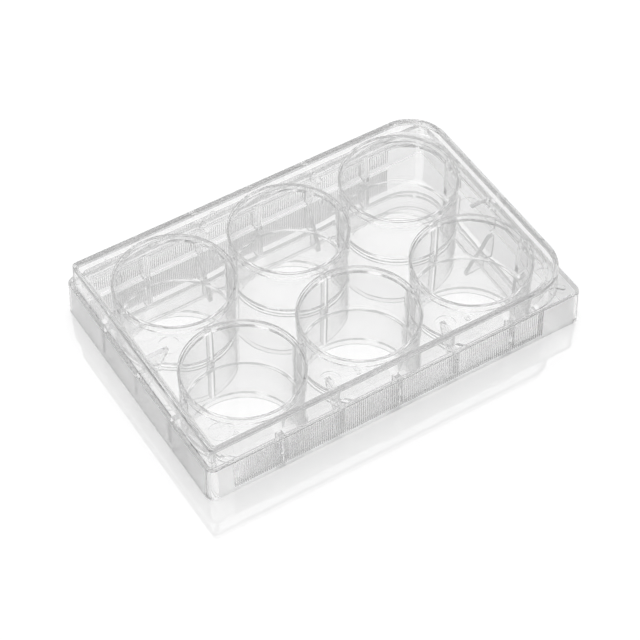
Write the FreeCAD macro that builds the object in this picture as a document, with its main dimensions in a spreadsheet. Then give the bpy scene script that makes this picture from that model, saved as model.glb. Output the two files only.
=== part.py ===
import FreeCAD, Part
import Sketcher
import math
import os
import re

# Six-well culture plate with its lid, both clear injection-moulded polystyrene.
# Frame: +Z up, +X along the long side, origin at the centre of the footprint on
# the plane the foot rests on. Sizes in millimetres, tapers in degrees.

SIZES = [
    # plate: skirt and ledge
    ("foot_length", 127.76), ("foot_width", 85.48), ("foot_radius", 3.0),
    ("skirt_height", 12.4), ("skirt_taper", 1.8), ("skirt_wall", 1.3),
    ("ledge_end", 3.88), ("ledge_side", 3.99), ("ledge_thick", 1.15),
    # plate: raised block with the deck the wells hang from
    ("block_left_radius", 2.2), ("block_right_radius", 13.5),
    ("block_wall", 0.85), ("block_taper", 1.0),
    ("deck_height", 17.0), ("deck_thick", 1.1),
    # wells
    ("pitch", 39.12), ("well_top_radius", 17.5), ("well_foot_radius", 17.3),
    ("well_wall", 0.95), ("rim_wall", 1.0), ("rim_height", 18.9),
    ("floor_height", 1.6), ("floor_thick", 1.15), ("barrel_bevel", 0.8),
    # ribs and webs under the deck
    ("rib_thick", 1.9), ("rib_foot", 2.0), ("link_thick", 1.3), ("link_foot", 0.6),
    ("web_thick", 1.6), ("web_foot", 1.5), ("web_foot_reach", 2.2),
    ("web_end_inset", 11.68), ("web_side_inset", 9.64),
    # bars on the ledge corners that carry the lid
    ("peg_thick", 1.5), ("peg_height", 0.45),
    ("peg_left_reach", 1.6), ("peg_left_root", 4.1),
    ("peg_right_reach", 4.0), ("peg_right_root", 8.2),
    # lid, pushed to the left and front by a share of its play
    ("lid_play_x", 1.0), ("lid_play_y", 1.1), ("lid_slide_x", 0.6), ("lid_slide_y", 0.73),
    ("lid_left_radius", 1.6), ("lid_right_radius", 13.0), ("lid_hollow_left_radius", 1.3),
    ("lid_taper", 3.0), ("lid_wall", 1.0), ("lid_gap", 0.02), ("lid_clearance", 0.05),
    ("lid_plate_thick", 1.1), ("lid_cove", 0.55),
    ("lid_rim_width", 0.85), ("lid_rim_height", 0.95), ("lid_rim_taper", 10.0),
    ("lid_recess_left_radius", 0.6),
    # roundings and small bevels
    ("edge_round", 0.35), ("peg_round", 0.7), ("lid_edge_round", 0.15),
    ("well_floor_bevel", 0.3), ("rim_bevel", 0.12),
    # how deep a rib is sunk into the wall or deck it stands on
    ("bite", 0.2), ("wall_bite", 0.6),
]

# Sizes that follow from the ones above.
DERIVED = [
    ("block_length", "foot_length - 2 * ledge_end"),
    ("block_width", "foot_width - 2 * ledge_side"),
    ("barrel_top_radius", "well_top_radius + well_wall"),
    ("barrel_foot_radius", "well_foot_radius + well_wall"),
    ("rim_radius", "well_top_radius + rim_wall"),
    ("barrel_foot", "floor_height - floor_thick"),
    ("ledge_under", "skirt_height - ledge_thick"),
    ("deck_under", "deck_height - deck_thick"),
    ("lid_length", "block_length + 2 * (lid_play_x + lid_wall)"),
    ("lid_width", "block_width + 2 * (lid_play_y + lid_wall)"),
    ("lid_foot", "skirt_height + peg_height + lid_gap"),
    ("lid_under", "rim_height + lid_clearance - lid_foot"),
    ("lid_tall", "lid_under + lid_plate_thick + lid_rim_height"),
    ("lid_inset", "lid_tall * tan(lid_taper * 1deg)"),
]

NAMES = {name for name, _ in SIZES + DERIVED}

doc = FreeCAD.newDocument("well_plate")
sheet = doc.addObject("Spreadsheet::Sheet", "Sizes")
for row, (size_name, size_value) in enumerate(SIZES + DERIVED, start=1):
    sheet.set("A%d" % row, size_name)
    sheet.set("B%d" % row, "=" + size_value if isinstance(size_value, str) else str(size_value))
    sheet.setAlias("B%d" % row, size_name)
doc.recompute()


def bound(text):
    """Turn a formula over size names into an expression on the sheet's cells."""
    def swap(word):
        return "Sizes." + word.group(0) if word.group(0) in NAMES else word.group(0)
    return re.sub(r"[a-z][a-z_]+", swap, text)


def value(text):
    """Present value of a formula over size names."""
    found = sheet.evalExpression(bound(text))
    return float(getattr(found, "Value", found))


def drive(obj, prop, text):
    obj.setExpression(prop, bound(text))


def plane(body, role):
    return next(f for f in body.Origin.OriginFeatures if f.Role == role)


def sketch_on(body, name, role, shift=("0", "0", "0")):
    """New sketch on an origin plane, its origin moved by three formulas in the plane's own axes."""
    sketch = body.newObject("Sketcher::SketchObject", name)
    sketch.AttachmentSupport = [(plane(body, role), "")]
    sketch.MapMode = "FlatFace"
    for axis, text in zip("xyz", shift):
        if text != "0":
            drive(sketch, "AttachmentOffset.Base." + axis, text)
    return sketch


def fix_point(sketch, edge, end, across, up):
    """Hold one end point of an edge at two driven coordinates."""
    for kind, text in (("DistanceX", across), ("DistanceY", up)):
        index = sketch.addConstraint(Sketcher.Constraint(kind, -1, 1, edge, end, value(text)))
        drive(sketch, "Constraints[%d]" % index, text)


def add_polygon(sketch, corners):
    """Closed polygon; each corner is a pair of formulas."""
    spots = [FreeCAD.Vector(value(a), value(b), 0) for a, b in corners]
    first = sketch.GeometryCount
    count = len(spots)
    for i in range(count):
        sketch.addGeometry(Part.LineSegment(spots[i], spots[(i + 1) % count]), False)
    for i in range(count):
        following = first + (i + 1) % count
        sketch.addConstraint(Sketcher.Constraint("Coincident", first + i, 2, following, 1))
    for i in range(count):
        fix_point(sketch, first + i, 1, *corners[i])


def add_rounded_rectangle(sketch, length, width, left_radius, right_radius):
    """Centred rectangle with one corner radius on the left side and one on the right."""
    half_x, half_y = value(length) / 2, value(width) / 2
    left, right = value(left_radius), value(right_radius)
    corners = [(half_x, -half_y, right, -90), (half_x, half_y, right, 0),
               (-half_x, half_y, left, 90), (-half_x, -half_y, left, 180)]
    centres = [FreeCAD.Vector(math.copysign(abs(x) - r, x), math.copysign(abs(y) - r, y), 0)
               for x, y, r, _ in corners]
    for centre, (_, _, r, start) in zip(centres, corners):
        circle = Part.Circle(centre, FreeCAD.Vector(0, 0, 1), r)
        begin = math.radians(start)
        sketch.addGeometry(Part.ArcOfCircle(circle, begin, begin + math.pi / 2), False)
    ends = [(FreeCAD.Vector(half_x, -half_y + right, 0), FreeCAD.Vector(half_x, half_y - right, 0)),
            (FreeCAD.Vector(half_x - right, half_y, 0), FreeCAD.Vector(-half_x + left, half_y, 0)),
            (FreeCAD.Vector(-half_x, half_y - left, 0), FreeCAD.Vector(-half_x, -half_y + left, 0)),
            (FreeCAD.Vector(-half_x + left, -half_y, 0), FreeCAD.Vector(half_x - right, -half_y, 0))]
    for begin, finish in ends:
        sketch.addGeometry(Part.LineSegment(begin, finish), False)
    for i in range(4):
        sketch.addConstraint(Sketcher.Constraint("Tangent", i, 2, 4 + i, 1))
        sketch.addConstraint(Sketcher.Constraint("Tangent", 4 + i, 2, (i + 1) % 4, 1))
    for line in (4, 6):
        sketch.addConstraint(Sketcher.Constraint("Vertical", line))
    for line in (5, 7):
        sketch.addConstraint(Sketcher.Constraint("Horizontal", line))
    sketch.addConstraint(Sketcher.Constraint("Equal", 0, 1))
    sketch.addConstraint(Sketcher.Constraint("Equal", 2, 3))
    for kind, edge, text in (("DistanceX", 4, length + " / 2"), ("DistanceX", 6, "-(" + length + ") / 2"),
                             ("DistanceY", 5, width + " / 2"), ("DistanceY", 7, "-(" + width + ") / 2")):
        index = sketch.addConstraint(Sketcher.Constraint(kind, -1, 1, edge, 1, value(text)))
        drive(sketch, "Constraints[%d]" % index, text)
    for arc, text in ((0, right_radius), (2, left_radius)):
        index = sketch.addConstraint(Sketcher.Constraint("Radius", arc, value(text)))
        drive(sketch, "Constraints[%d]" % index, text)


def extrude(body, kind, name, sketch, length, taper="0", reverse=False, midplane=False):
    feature = body.newObject("PartDesign::" + kind, name)
    feature.Profile = sketch
    drive(feature, "Length", length)
    if taper != "0":
        drive(feature, "TaperAngle", taper)
    feature.Reversed = reverse
    feature.Midplane = midplane
    sketch.Visibility = False
    body.Tip = feature
    return feature


def turn(body, kind, name, sketch):
    feature = body.newObject("PartDesign::" + kind, name)
    feature.Profile = sketch
    feature.ReferenceAxis = (sketch, ["V_Axis"])
    feature.Angle = 360
    body.Tip = feature
    return feature


def repeat(body, name, feature, role, count, length, second=None):
    """Linear pattern along one origin axis, or along two when a second set is given."""
    pattern = body.newObject("PartDesign::LinearPattern", name)
    pattern.Originals = [feature]
    pattern.Direction = (plane(body, role), [""])
    pattern.Occurrences = count
    drive(pattern, "Length", length)
    if second:
        pattern.Direction2 = (plane(body, second[0]), [""])
        pattern.Occurrences2 = second[1]
        drive(pattern, "Length2", second[2])
    body.Tip = pattern
    return pattern


def dress_edges(body, kind, name, size, wanted):
    """Fillet or chamfer the tip's edges that the test picks out."""
    doc.recompute()
    base = body.Tip
    picked = ["Edge%d" % i for i, edge in enumerate(base.Shape.Edges, start=1) if wanted(edge)]
    if not picked:
        raise RuntimeError(name + ": no edge to dress")
    feature = body.newObject("PartDesign::" + kind, name)
    feature.Base = (base, picked)
    drive(feature, "Radius" if kind == "Fillet" else "Size", size)
    body.Tip = feature
    return feature


def at_height(edge, height):
    box = edge.BoundBox
    return abs(box.ZMin - height) < 1e-3 and abs(box.ZMax - height) < 1e-3


def is_ring(edge, radius):
    return isinstance(edge.Curve, Part.Circle) and abs(edge.Curve.Radius - radius) < 1e-3


def is_upright(edge, low, high):
    """True for a vertical straight edge between two heights."""
    box = edge.BoundBox
    narrow = box.XLength < 1e-3 and box.YLength < 1e-3
    return narrow and abs(box.ZMin - low) < 1e-3 and abs(box.ZMax - high) < 1e-3


def make_plate():
    body = doc.addObject("PartDesign::Body", "plate")
    body.Label = "well_plate"

    foot = sketch_on(body, "foot_outline", "XY_Plane")
    add_rounded_rectangle(foot, "foot_length", "foot_width", "foot_radius", "foot_radius")
    extrude(body, "Pad", "skirt", foot, "skirt_height", "-skirt_taper")

    top = sketch_on(body, "block_outline", "XY_Plane", ("0", "0", "skirt_height"))
    add_rounded_rectangle(top, "block_length", "block_width", "block_left_radius", "block_right_radius")
    extrude(body, "Pad", "block", top, "deck_height - skirt_height", "-block_taper")

    hollow = sketch_on(body, "skirt_hollow_outline", "XY_Plane")
    add_rounded_rectangle(hollow, "(foot_length - 2 * skirt_wall)", "(foot_width - 2 * skirt_wall)",
                          "foot_radius - skirt_wall", "foot_radius - skirt_wall")
    extrude(body, "Pocket", "skirt_hollow", hollow, "ledge_under", "-skirt_taper", reverse=True)

    inside = sketch_on(body, "block_hollow_outline", "XY_Plane", ("0", "0", "ledge_under"))
    add_rounded_rectangle(inside, "(block_length - 2 * block_wall)", "(block_width - 2 * block_wall)",
                          "block_left_radius - block_wall", "block_right_radius - block_wall")
    extrude(body, "Pocket", "block_hollow", inside, "deck_under - ledge_under", "-block_taper", reverse=True)

    add_webs(body)
    add_ribs(body)
    add_pegs(body)
    add_wells(body)
    dress_plate(body)
    return body


def web_profile(side, half_foot, half_block, inset):
    """Gusset between the deck, the ledge and the skirt, with a raked inner edge."""
    ledge = "ledge_under + bite"
    deck = "deck_under + bite"
    skirt_in = "%s * (%s - skirt_wall + bite)" % (side, half_foot)
    block_in = "%s * (%s - block_wall / 2)" % (side, half_block)
    inner = "%s * (%s - %s)" % (side, half_foot, inset)
    foot_in = "%s * (%s - skirt_wall - web_foot_reach)" % (side, half_foot)
    return [(skirt_in, "web_foot"), (skirt_in, ledge), (block_in, ledge),
            (block_in, deck), (inner, deck), (foot_in, "web_foot")]


def add_webs(body):
    across = sketch_on(body, "side_web_outline", "YZ_Plane", ("0", "0", "-pitch / 2"))
    for side in ("-1", "1"):
        add_polygon(across, web_profile(side, "foot_width / 2", "block_width / 2", "web_side_inset"))
    webs = extrude(body, "Pad", "side_webs", across, "web_thick", midplane=True)
    repeat(body, "side_web_pairs", webs, "X_Axis", 2, "pitch")
    along = sketch_on(body, "end_web_outline", "XZ_Plane")
    for side in ("-1", "1"):
        add_polygon(along, web_profile(side, "foot_length / 2", "block_length / 2", "web_end_inset"))
    extrude(body, "Pad", "end_webs", along, "web_thick", midplane=True)


def rib_profile(side, half_foot, half_block, well_line):
    """Rib from a well's nearest point out to the skirt and up to the deck."""
    outer = "%s * (%s - skirt_wall + bite)" % (side, half_foot)
    block = "%s * (%s - block_wall / 2)" % (side, half_block)
    inner = "%s * (%s + barrel_foot_radius - wall_bite)" % (side, well_line)
    ledge = "ledge_under + bite"
    deck = "deck_under + bite"
    return [(outer, "rib_foot"), (outer, ledge), (block, ledge),
            (block, deck), (inner, deck), (inner, "rib_foot")]


def add_ribs(body):
    across = sketch_on(body, "side_rib_outline", "YZ_Plane", ("0", "0", "-pitch"))
    for side in ("-1", "1"):
        add_polygon(across, rib_profile(side, "foot_width / 2", "block_width / 2", "pitch / 2"))
    ribs = extrude(body, "Pad", "side_ribs", across, "rib_thick", midplane=True)
    repeat(body, "side_rib_row", ribs, "X_Axis", 3, "2 * pitch")
    along = sketch_on(body, "end_rib_outline", "XZ_Plane", ("0", "0", "pitch / 2"))
    for side in ("-1", "1"):
        add_polygon(along, rib_profile(side, "foot_length / 2", "block_length / 2", "pitch"))
    ends = extrude(body, "Pad", "end_ribs", along, "rib_thick", midplane=True)
    repeat(body, "end_rib_pairs", ends, "Y_Axis", 2, "pitch")

    links = sketch_on(body, "link_outline", "XY_Plane", ("0", "0", "link_foot"))
    half_gap = "(pitch / 2 - barrel_foot_radius + wall_bite)"
    for x_sign in ("-1", "1"):
        for y_sign in ("-1", "1"):
            add_box(links, "%s * pitch / 2" % x_sign, "%s * pitch / 2" % y_sign, half_gap, "link_thick / 2")
    for column in ("-1", "0", "1"):
        add_box(links, column + " * pitch", "0", "link_thick / 2", half_gap)
    extrude(body, "Pad", "links", links, "deck_under + bite - link_foot")


def add_box(sketch, centre_x, centre_y, half_x, half_y):
    add_polygon(sketch, [("%s - %s" % (centre_x, half_x), "%s - %s" % (centre_y, half_y)),
                         ("%s + %s" % (centre_x, half_x), "%s - %s" % (centre_y, half_y)),
                         ("%s + %s" % (centre_x, half_x), "%s + %s" % (centre_y, half_y)),
                         ("%s - %s" % (centre_x, half_x), "%s + %s" % (centre_y, half_y))])


def peg_outline(x_sign, y_sign, reach, root):
    """Corners of a bar that runs diagonally inward from near a corner of the footprint."""
    tip_x = "%s * (foot_length / 2 - %s)" % (x_sign, reach)
    tip_y = "%s * (foot_width / 2 - %s)" % (y_sign, reach)
    root_x = "%s * (foot_length / 2 - %s)" % (x_sign, root)
    root_y = "%s * (foot_width / 2 - %s)" % (y_sign, root)
    side_x = "%s * peg_thick / (2 * sqrt(2))" % x_sign
    side_y = "%s * peg_thick / (2 * sqrt(2))" % y_sign
    return [(tip_x + " + " + side_x, tip_y + " - " + side_y),
            (tip_x + " - " + side_x, tip_y + " + " + side_y),
            (root_x + " - " + side_x, root_y + " + " + side_y),
            (root_x + " + " + side_x, root_y + " - " + side_y)]


def add_pegs(body):
    """Low diagonal bars on the ledge corners; the lid's skirt stands on them."""
    pegs = sketch_on(body, "peg_outline", "XY_Plane", ("0", "0", "skirt_height - bite"))
    for y_sign in ("-1", "1"):
        add_polygon(pegs, peg_outline("-1", y_sign, "peg_left_reach", "peg_left_root"))
        add_polygon(pegs, peg_outline("1", y_sign, "peg_right_reach", "peg_right_root"))
    extrude(body, "Pad", "pegs", pegs, "peg_height + bite")
    low, high = value("skirt_height"), value("skirt_height + peg_height")
    dress_edges(body, "Fillet", "peg_ends", "peg_round", lambda e: is_upright(e, low, high))


def add_wells(body):
    barrel = sketch_on(body, "barrel_profile", "XZ_Plane", ("-pitch", "0", "pitch / 2"))
    add_polygon(barrel, [("0", "barrel_foot"),
                         ("barrel_foot_radius - barrel_bevel", "barrel_foot"),
                         ("barrel_foot_radius", "barrel_foot + barrel_bevel"),
                         ("barrel_top_radius", "deck_height - deck_thick / 2"),
                         ("rim_radius", "deck_height - deck_thick / 2"),
                         ("rim_radius", "rim_height"),
                         ("0", "rim_height")])
    barrels = turn(body, "Revolution", "barrel", barrel)
    repeat(body, "barrels", barrels, "X_Axis", 3, "2 * pitch", ("Y_Axis", 2, "pitch"))
    bore = sketch_on(body, "bore_profile", "XZ_Plane", ("-pitch", "0", "pitch / 2"))
    add_polygon(bore, [("0", "floor_height"), ("well_foot_radius", "floor_height"),
                       ("well_top_radius", "rim_height"), ("0", "rim_height")])
    bores = turn(body, "Groove", "bore", bore)
    repeat(body, "bores", bores, "X_Axis", 3, "2 * pitch", ("Y_Axis", 2, "pitch"))


def dress_plate(body):
    floor_z, floor_r = value("floor_height"), value("well_foot_radius")
    dress_edges(body, "Chamfer", "floor_corners", "well_floor_bevel",
                lambda e: at_height(e, floor_z) and is_ring(e, floor_r))
    rim_z, rim_r, bore_r = value("rim_height"), value("rim_radius"), value("well_top_radius")
    dress_edges(body, "Chamfer", "rim_edges", "rim_bevel",
                lambda e: at_height(e, rim_z) and (is_ring(e, rim_r) or is_ring(e, bore_r)))
    deck_z, ledge_z = value("deck_height"), value("skirt_height")
    deck_x, deck_y = value("block_length / 2") - 1, value("block_width / 2") - 1
    ledge_x, ledge_y = value("foot_length / 2 - ledge_end / 4"), value("foot_width / 2 - ledge_side / 4")
    dress_edges(body, "Fillet", "outer_edges", "edge_round",
                lambda e: (at_height(e, deck_z) and outside(e, deck_x, deck_y)
                           and not is_ring(e, rim_r))
                or (at_height(e, ledge_z) and outside(e, ledge_x, ledge_y)))


def outside(edge, half_x, half_y):
    """True when an edge's middle lies beyond a centred rectangle."""
    middle = edge.valueAt((edge.FirstParameter + edge.LastParameter) / 2)
    return abs(middle.x) > half_x or abs(middle.y) > half_y


def make_lid():
    body = doc.addObject("PartDesign::Body", "lid")
    body.Label = "lid"
    drive(body, "Placement.Base.x", "-lid_slide_x * lid_play_x")
    drive(body, "Placement.Base.y", "-lid_slide_y * lid_play_y")
    drive(body, "Placement.Base.z", "lid_foot")

    outline = sketch_on(body, "lid_outline", "XY_Plane")
    add_rounded_rectangle(outline, "lid_length", "lid_width", "lid_left_radius", "lid_right_radius")
    extrude(body, "Pad", "lid_block", outline, "lid_tall", "-lid_taper")

    inner = sketch_on(body, "lid_hollow_outline", "XY_Plane")
    add_rounded_rectangle(inner, "(lid_length - 2 * lid_wall)", "(lid_width - 2 * lid_wall)",
                          "lid_hollow_left_radius", "lid_right_radius - lid_wall")
    extrude(body, "Pocket", "lid_hollow", inner, "lid_under", "-lid_taper", reverse=True)
    under = value("lid_under")
    dress_edges(body, "Fillet", "lid_coves", "lid_cove", lambda e: at_height(e, under))

    recess = sketch_on(body, "lid_recess_outline", "XY_Plane", ("0", "0", "lid_tall"))
    add_rounded_rectangle(recess, "(lid_length - 2 * (lid_rim_width + lid_inset))",
                          "(lid_width - 2 * (lid_rim_width + lid_inset))",
                          "lid_recess_left_radius", "lid_right_radius - lid_rim_width - lid_inset")
    extrude(body, "Pocket", "lid_recess", recess, "lid_rim_height", "-lid_rim_taper")
    top = value("lid_tall")
    dress_edges(body, "Fillet", "lid_rim_edges", "lid_edge_round", lambda e: at_height(e, top))
    return body


def write(body):
    shape = body.Shape
    if shape.isNull() or not shape.isValid() or len(shape.Solids) != 1:
        raise RuntimeError("%s is not one valid solid" % body.Label)
    shape.exportStep("parts/%s.step" % body.Label)
    box = shape.BoundBox
    corners = (box.XMin, box.YMin, box.ZMin, box.XMax, box.YMax, box.ZMax)
    print(body.Label, "%.1f mm3" % shape.Volume, [round(number, 3) for number in corners])


os.makedirs("parts", exist_ok=True)
bodies = [make_plate(), make_lid()]
doc.recompute()
for item in doc.Objects:
    if "Invalid" in item.State or "Error" in item.State:
        raise RuntimeError("%s: %s" % (item.Label, item.State))
for item in bodies:
    write(item)
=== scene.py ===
import math

import bmesh
import bpy
from mathutils import Matrix, Vector


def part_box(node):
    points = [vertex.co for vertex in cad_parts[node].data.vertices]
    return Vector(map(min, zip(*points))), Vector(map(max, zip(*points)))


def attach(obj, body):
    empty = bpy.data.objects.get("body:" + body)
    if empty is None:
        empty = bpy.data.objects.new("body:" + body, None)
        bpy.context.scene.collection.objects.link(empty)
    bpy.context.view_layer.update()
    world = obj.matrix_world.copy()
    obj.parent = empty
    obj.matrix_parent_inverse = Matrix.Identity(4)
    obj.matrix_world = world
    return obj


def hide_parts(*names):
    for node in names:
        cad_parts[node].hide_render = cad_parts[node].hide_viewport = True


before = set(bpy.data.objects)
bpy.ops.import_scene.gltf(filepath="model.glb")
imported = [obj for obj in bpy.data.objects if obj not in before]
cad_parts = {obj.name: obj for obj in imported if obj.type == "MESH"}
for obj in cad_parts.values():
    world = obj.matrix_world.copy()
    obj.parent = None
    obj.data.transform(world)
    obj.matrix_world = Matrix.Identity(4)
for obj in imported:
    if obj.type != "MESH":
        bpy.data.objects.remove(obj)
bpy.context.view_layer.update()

# Six-well culture plate with its lid, both moulded in clear polystyrene, on a white acrylic table.
# The frame is in metres. A value times MM is written in millimetres, and so are the two lists of places.

MM = 0.001
FOOT_X, FOOT_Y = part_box("well_plate")[1][:2]

# Plate: sizes that the frame's boxes don't give.
SKIRT_LEAN = math.tan(math.radians(1.8))
GRIP_TOP = 11.9 * MM
LEDGE_END, LEDGE_SIDE = 3.88 * MM, 3.99 * MM
DECK_TOP = 17.0 * MM
WELL_PITCH = 39.12 * MM
BLOCK_CORNER, LID_CORNER = 13.5 * MM, 13.0 * MM
# Radii that the round walls of the wells lie between.
WELL_WALLS = (16.9 * MM, 18.55 * MM)

# Round ejector marks and well numbers on the deck, millimetres.
PIN_MARKS = [(-19.5, 35.1), (19.6, 35.1), (-19.5, -35.0), (19.6, -35.0), (-51.8, 0.3), (52.0, 0.3),
             (-57.0, 35.1), (-55.2, -34.4), (54.6, -35.0)]
NUMBER_SPOTS = [(-51.5, 37.3), (-15.1, 37.3), (26.2, 36.3), (-52.0, -37.2), (-11.1, -36.3), (26.3, -36.3)]

# Round walls: an edge that turns further than the first angle is halved, unless it turns further than the
# second, as no edge of a round wall does.
FINE_TURN, SHARP_TURN = math.radians(2.4), math.radians(13)
HALVINGS = 2
# Points this near count as one.
SAME_POINT = 0.0002 * MM

# White surfaces round the table: direction of the middle, cosines at which the soft edge begins and at
# which the surface is at full level, and that level.
WHITE_SURFACES = [
    ((0, 0, 1), 0.05, 0.42, 0.38),              # dim ceiling
    ((-0.225, 0.974, 0), 0.60, 0.90, 0.37),     # low panel behind, a little to the left
    ((0.344, 0.551, 0.760), 0.93, 0.98, 0.74),  # reflector high behind, a little to the right
    ((-0.10, -0.16, 0.98), 0.90, 0.975, 0.55),  # panel overhead
]


def linear(hex_code):
    """sRGB hex colour to linear RGBA."""
    channels = [int(hex_code[i:i + 2], 16) / 255 for i in (1, 3, 5)]
    return [c / 12.92 if c <= 0.04045 else ((c + 0.055) / 1.055) ** 2.4 for c in channels] + [1.0]


def node(tree, kind, settings=None, links=None):
    """Add a shader node, set its attributes and input values, and link its inputs."""
    made = tree.nodes.new(kind)
    for name, setting in (settings or {}).items():
        if isinstance(name, int) or name in made.inputs:
            made.inputs[name].default_value = setting
        else:
            setattr(made, name, setting)
    for name, source in (links or {}).items():
        tree.links.new(source, made.inputs[name])
    return made


def new_material(name):
    made = bpy.data.materials.new(name)
    made.use_nodes = True
    made.node_tree.nodes.clear()
    return made, made.node_tree


# ---------------------------------------------------------------- materials

POLYSTYRENE_INDEX = 1.59
# What the two faces of a wall turn aside, as a multiple of what one does.
BOTH_FACES = 1.8


def clear_moulded_polystyrene(name, roughness):
    """Clear general-purpose polystyrene, injection moulded.

    A polished steel tool leaves a mirror-smooth skin; a lightly etched one leaves it a little matt.
    Its shadow is pale: light gets through but for what the two faces of a wall turn aside, which is
    counted on the face where the light enters.
    """
    made, tree = new_material(name)
    plastic = node(tree, "ShaderNodeBsdfPrincipled", {
        "Base Color": linear("#FDFDFD"), "Roughness": roughness, "IOR": POLYSTYRENE_INDEX,
        "Transmission Weight": 1.0})
    clear = node(tree, "ShaderNodeBsdfTransparent", {"Color": linear("#FCFCFC")})
    blocked = node(tree, "ShaderNodeBsdfDiffuse", {"Color": linear("#000000")})
    face = node(tree, "ShaderNodeNewGeometry")
    mirror = node(tree, "ShaderNodeFresnel", {"IOR": POLYSTYRENE_INDEX})
    entering = node(tree, "ShaderNodeMath", {"operation": "SUBTRACT", 0: 1.0},
                    {1: face.outputs["Backfacing"]})
    one_face = node(tree, "ShaderNodeMath", {"operation": "MULTIPLY"},
                    {0: mirror.outputs[0], 1: entering.outputs[0]})
    lost = node(tree, "ShaderNodeMath", {"operation": "MULTIPLY", 1: BOTH_FACES, "use_clamp": True},
                {0: one_face.outputs[0]})
    shadow = node(tree, "ShaderNodeMixShader", {},
                  {0: lost.outputs[0], 1: clear.outputs[0], 2: blocked.outputs[0]})
    path = node(tree, "ShaderNodeLightPath")
    mix = node(tree, "ShaderNodeMixShader", {},
               {0: path.outputs["Is Shadow Ray"], 1: plastic.outputs[0], 2: shadow.outputs[0]})
    node(tree, "ShaderNodeOutputMaterial", {}, {"Surface": mix.outputs[0]})
    return made


def white_acrylic(name, mirror, roughness, glow):
    """White acrylic sheet: white through its depth, with a clear skin that mirrors a share of the light.

    The glow brings the table to the white of a studio backdrop, seen directly, through the plastic or in
    a mirror image, and casts no light of its own.
    """
    made, tree = new_material(name)
    body = node(tree, "ShaderNodeBsdfDiffuse", {"Color": linear("#F2F2F2")})
    path = node(tree, "ShaderNodeLightPath")
    direct = node(tree, "ShaderNodeMath", {"operation": "MAXIMUM"},
                  {0: path.outputs["Is Camera Ray"], 1: path.outputs["Is Transmission Ray"]})
    seen = node(tree, "ShaderNodeMath", {"operation": "MAXIMUM"},
                {0: direct.outputs[0], 1: path.outputs["Is Glossy Ray"]})
    strength = node(tree, "ShaderNodeMath", {"operation": "MULTIPLY", 1: glow}, {0: seen.outputs[0]})
    backdrop = node(tree, "ShaderNodeEmission", {"Color": linear("#FFFFFF")},
                    {"Strength": strength.outputs[0]})
    white = node(tree, "ShaderNodeAddShader", {}, {0: body.outputs[0], 1: backdrop.outputs[0]})
    skin = node(tree, "ShaderNodeBsdfGlossy", {"Color": linear("#FFFFFF"), "Roughness": roughness})
    mix = node(tree, "ShaderNodeMixShader", {0: mirror}, {1: white.outputs[0], 2: skin.outputs[0]})
    node(tree, "ShaderNodeOutputMaterial", {}, {"Surface": mix.outputs[0]})
    return made


# ------------------------------------------------------------ moulded detail

def as_object(made, name):
    """Object in the scene that holds a built-up mesh."""
    mesh = bpy.data.meshes.new(name)
    made.to_mesh(mesh)
    made.free()
    holder = bpy.data.objects.new(name, mesh)
    bpy.context.scene.collection.objects.link(holder)
    return holder


def finished_mesh(holder):
    """Mesh that an object's text or modifiers come to."""
    return bpy.data.meshes.new_from_object(holder.evaluated_get(bpy.context.evaluated_depsgraph_get()))


def grip_cutter():
    """Row of upright V grooves on both long sides of the skirt, one closed prism each."""
    pitch, mouth, depth, over = 0.70 * MM, 0.56 * MM, 0.17 * MM, 0.03 * MM
    start, end, low, high = -56.0 * MM, 50.0 * MM, 1.65 * MM, GRIP_TOP
    half = mouth / 2 * (depth + over) / depth
    made = bmesh.new()
    for side in (-1, 1):
        for i in range(int((end - start) / pitch)):
            x = start + (i + 0.5) * pitch
            ends = []
            for z in (low, high):
                face = FOOT_Y - z * SKIRT_LEAN
                ends.append([made.verts.new((x - half, side * (face + over), z)),
                             made.verts.new((x + half, side * (face + over), z)),
                             made.verts.new((x, side * (face - depth), z))])
            bottom, top = ends
            made.faces.new(bottom)
            made.faces.new(top)
            for a in range(3):
                b = (a + 1) % 3
                made.faces.new((bottom[a], bottom[b], top[b], top[a]))
    bmesh.ops.recalc_face_normals(made, faces=made.faces)
    return as_object(made, "grip_cutter")


def pin_mark_cutter():
    """Ejector pins leave shallow round marks in the deck."""
    radius, sunk, sides = 3.2 * MM, 0.2 * MM, 48
    made = bmesh.new()
    for x, y in PIN_MARKS:
        disc = bmesh.ops.create_cone(made, cap_ends=True, segments=sides, radius1=radius,
                                     radius2=radius, depth=2 * sunk)
        bmesh.ops.translate(made, verts=disc["verts"], vec=(x * MM, y * MM, DECK_TOP))
    return as_object(made, "pin_mark_cutter")


def well_numbers():
    """Raised well numbers, one beside each well, cut into the tool with a fine ball cutter."""
    size, raised, join = 4.3 * MM, 0.3 * MM, 0.001 * MM
    made = bmesh.new()
    for digit, (x, y) in enumerate(NUMBER_SPOTS, start=1):
        font = bpy.data.curves.new("number", "FONT")
        font.body, font.size, font.extrude = str(digit), size, raised
        font.align_x, font.align_y = "CENTER", "CENTER"
        font.resolution_u = 3
        holder = bpy.data.objects.new("number", font)
        bpy.context.scene.collection.objects.link(holder)
        solid = finished_mesh(holder)
        solid.transform(Matrix.Translation((x * MM, y * MM, DECK_TOP)))
        made.from_mesh(solid)
        bpy.data.objects.remove(holder)
        bpy.data.meshes.remove(solid)
    bmesh.ops.remove_doubles(made, verts=made.verts, dist=join)
    return as_object(made, "numbers")


def right_corners(low, high, radius, deep):
    """Upright axes of a box's two large right-hand corners, with the radii that their walls lie between.

    The axes are rounded to the micrometre, which clears the rounding noise of the frame's boxes.
    """
    slack, micrometre = 0.1 * MM, 6
    return [(round(high[0] - radius, micrometre), round(y, micrometre), radius - deep, radius + slack)
            for y in (low[1] + radius, high[1] - radius)]


def spot(point):
    """Whole numbers that are the same for points that count as one."""
    return tuple(round(c / SAME_POINT) for c in point)


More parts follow.
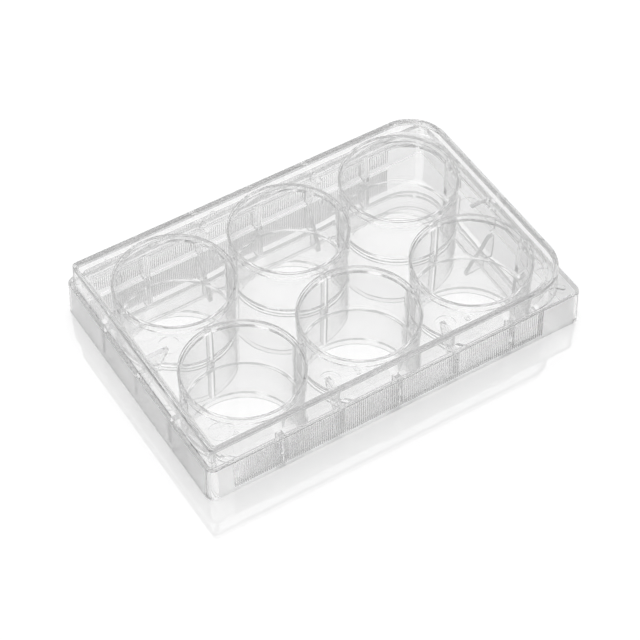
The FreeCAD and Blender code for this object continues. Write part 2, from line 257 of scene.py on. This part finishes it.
def halfway_round(edge, middle, axes):
    """Point halfway round an upright axis from one end of an edge to the other, if it turns too far."""
    for x, y, inner, outer in axes:
        ends = [(v.co.x - x, v.co.y - y) for v in edge.verts]
        reach = [math.hypot(*end) for end in ends]
        if min(reach) < inner or max(reach) > outer:
            continue
        first, second = (math.atan2(end[1], end[0]) for end in ends)
        turn = (second - first + math.pi) % (2 * math.pi) - math.pi
        if FINE_TURN < abs(turn) < SHARP_TURN:
            way, radius = first + turn / 2, sum(reach) / 2
            return Vector((x + radius * math.cos(way), y + radius * math.sin(way), middle.z))
        return None
    return None


def turn_finely(made, axes):
    """Halve the facets of the round walls and move their new points out to the true round."""
    for _ in range(HALVINGS):
        halves = {}
        for edge in made.edges:
            middle = (edge.verts[0].co + edge.verts[1].co) / 2
            target = halfway_round(edge, middle, axes)
            if target is not None:
                halves[spot(middle)] = (edge, target)
        bmesh.ops.subdivide_edges(made, edges=[edge for edge, _ in halves.values()], cuts=1)
        made.verts.ensure_lookup_table()
        for vert in made.verts:
            half = halves.get(spot(vert.co))
            if half is not None:
                vert.co = half[1]


def moulded(cad, changes, axes):
    """Copy of a CAD node with solids taken away or added, and its round walls turned finely.

    The Booleans need one closed skin, so the copy's facets are joined and the CAD's own normals go.
    """
    join, crease = 0.0005 * MM, math.radians(30)
    welded = bmesh.new()
    welded.from_mesh(cad.data)
    bmesh.ops.remove_doubles(welded, verts=welded.verts, dist=join)
    piece = as_object(welded, cad.name + "_moulding")
    if "custom_normal" in piece.data.attributes:
        piece.data.attributes.remove(piece.data.attributes["custom_normal"])
    for operation, tool in changes:
        step = piece.modifiers.new(tool.name, "BOOLEAN")
        step.operation, step.object, step.solver = operation, tool, "MANIFOLD"
    bpy.context.view_layer.update()
    final = finished_mesh(piece)
    piece.modifiers.clear()
    fine = bmesh.new()
    fine.from_mesh(final)
    turn_finely(fine, axes)
    fine.to_mesh(final)
    fine.free()
    piece.data = final
    final.shade_smooth()
    final.set_sharp_from_angle(angle=crease)
    final.materials.clear()
    final.materials.append(cad.data.materials[0])
    for _, tool in changes:
        bpy.data.objects.remove(tool)
    return piece


def etch_skirt(piece, finish):
    """Give the flat sides of the skirt, but not its corners or the flanks of its grooves, an etched skin."""
    upright, on_side = 0.2, 0.01 * MM
    piece.data.materials.append(finish)
    for face in piece.data.polygons:
        x, y, z = face.center
        lean = z * SKIRT_LEAN
        past = max(abs(x) + lean - FOOT_X, abs(y) + lean - FOOT_Y)
        if z < GRIP_TOP and abs(face.normal.z) < upright and past > -on_side:
            face.material_index = 1


# ------------------------------------------------------------ studio

def add_world():
    """Studio lit by its soft-edged white surfaces."""
    world = bpy.data.worlds.new("studio")
    bpy.context.scene.world = world
    world.use_nodes = True
    tree = world.node_tree
    tree.nodes.clear()
    where = node(tree, "ShaderNodeTexCoord")
    light = None
    for toward, start, full, level in WHITE_SURFACES:
        facing = node(tree, "ShaderNodeVectorMath", {"operation": "DOT_PRODUCT", 1: toward},
                      {0: where.outputs["Generated"]})
        inside = node(tree, "ShaderNodeMapRange",
                      {"interpolation_type": "SMOOTHSTEP", "From Min": start, "From Max": full},
                      {"Value": facing.outputs["Value"]})
        terms = {0: inside.outputs[0]}
        if light is not None:
            terms[2] = light.outputs[0]
        light = node(tree, "ShaderNodeMath", {"operation": "MULTIPLY_ADD", 1: level, 2: 0.0}, terms)
    sky = node(tree, "ShaderNodeBackground", {"Color": linear("#FFFFFF")}, {"Strength": light.outputs[0]})
    node(tree, "ShaderNodeOutputWorld", {}, {0: sky.outputs[0]})
    # Rays find these broad surfaces by themselves, without being aimed at them.
    world.cycles.sampling_method = "NONE"


def add_softbox():
    """Large square softbox high above the plate, a little behind it and to its right, in metres and watts.

    Its outline isn't seen through the plastic.
    """
    place, aim = Vector((0.1, 0.1, 1.3)), Vector((0, 0, 0))
    lamp = bpy.data.lights.new("softbox", "AREA")
    lamp.shape, lamp.size, lamp.energy = "SQUARE", 0.9, 5.1
    holder = bpy.data.objects.new("softbox", lamp)
    holder.location = place
    holder.rotation_mode = "QUATERNION"
    holder.rotation_quaternion = (aim - place).to_track_quat("-Z", "Y")
    holder.visible_transmission = False
    bpy.context.scene.collection.objects.link(holder)


def add_table():
    """White acrylic table with a silvered tile let into it, just inside the plate's foot."""
    reach, inset, below = 3.0, 0.5 * MM, 0.02 * MM
    tile_x, tile_y = FOOT_X - inset, FOOT_Y - inset
    xs, ys = (-reach, -tile_x, tile_x, reach), (-reach, -tile_y, tile_y, reach)
    corners, across = [(x, y, 0) for y in ys for x in xs], len(xs)
    firsts = [j * across + i for j in range(len(ys) - 1) for i in range(across - 1)]
    faces = [(a, a + 1, a + across + 1, a + across) for a in firsts]
    middle = len(faces) // 2
    mesh = bpy.data.meshes.new("table")
    mesh.from_pydata(corners, [], faces)
    mesh.materials.append(white_acrylic("glossy_white_table", mirror=0.2, roughness=0.005, glow=0.37))
    mesh.materials.append(white_acrylic("silvered_tile", mirror=0.75, roughness=0.0, glow=0.3))
    mesh.polygons[middle].material_index = 1
    top = bpy.data.objects.new("table", mesh)
    top.location.z = -below
    bpy.context.scene.collection.objects.link(top)


def add_camera():
    """Long lens, high three-quarter view over the front left corner."""
    azimuth, elevation, distance = math.radians(-31.925), math.radians(49.525), 677.47
    aim = Vector((-6.80, -9.11, 10.0)) * MM
    back = Vector((math.sin(azimuth) * math.cos(elevation), -math.cos(azimuth) * math.cos(elevation),
                   math.sin(elevation)))
    lens = bpy.data.cameras.new("camera")
    lens.lens, lens.sensor_width = 130.28, 36.0
    lens.clip_start, lens.clip_end = 0.01, 20
    holder = bpy.data.objects.new("camera", lens)
    holder.location = aim + back * distance * MM
    holder.rotation_euler = (math.pi / 2 - elevation, 0, azimuth)
    bpy.context.scene.collection.objects.link(holder)
    bpy.context.scene.camera = holder


# ------------------------------------------------------------ assembly

polished = clear_moulded_polystyrene("clear_moulded_polystyrene", roughness=0.0)
etched = clear_moulded_polystyrene("etched_moulded_polystyrene", roughness=0.30)
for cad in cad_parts.values():
    for slot in cad.material_slots:
        slot.material = polished

# Upright axes of the round walls: x, y, and the radii that the walls lie between.
wells = [(i * WELL_PITCH, j * WELL_PITCH / 2, *WELL_WALLS) for i in (-1, 0, 1) for j in (-1, 1)]
block_x, block_y = FOOT_X - LEDGE_END, FOOT_Y - LEDGE_SIDE
block_corners = right_corners((-block_x, -block_y), (block_x, block_y), BLOCK_CORNER, deep=1.6 * MM)
lid_corners = right_corners(*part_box("lid"), LID_CORNER, deep=2.1 * MM)

pieces = {
    "well_plate": moulded(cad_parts["well_plate"], [
        ("DIFFERENCE", grip_cutter()), ("DIFFERENCE", pin_mark_cutter()), ("UNION", well_numbers())],
        wells + block_corners),
    "lid": moulded(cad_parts["lid"], [], lid_corners),
}
for name, piece in pieces.items():
    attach(piece, "root")
    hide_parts(name)
etch_skirt(pieces["well_plate"], etched)

add_world()
add_table()
add_softbox()
add_camera()

# Light may cross dozens of thin clear walls before it leaves the plate.
WALLS_CROSSED, SHADOW_WALLS = 128, 48
scene = bpy.context.scene
scene.view_settings.view_transform = "Standard"
scene.cycles.max_bounces = WALLS_CROSSED
scene.cycles.transmission_bounces = WALLS_CROSSED
scene.cycles.glossy_bounces = WALLS_CROSSED
scene.cycles.transparent_max_bounces = SHADOW_WALLS
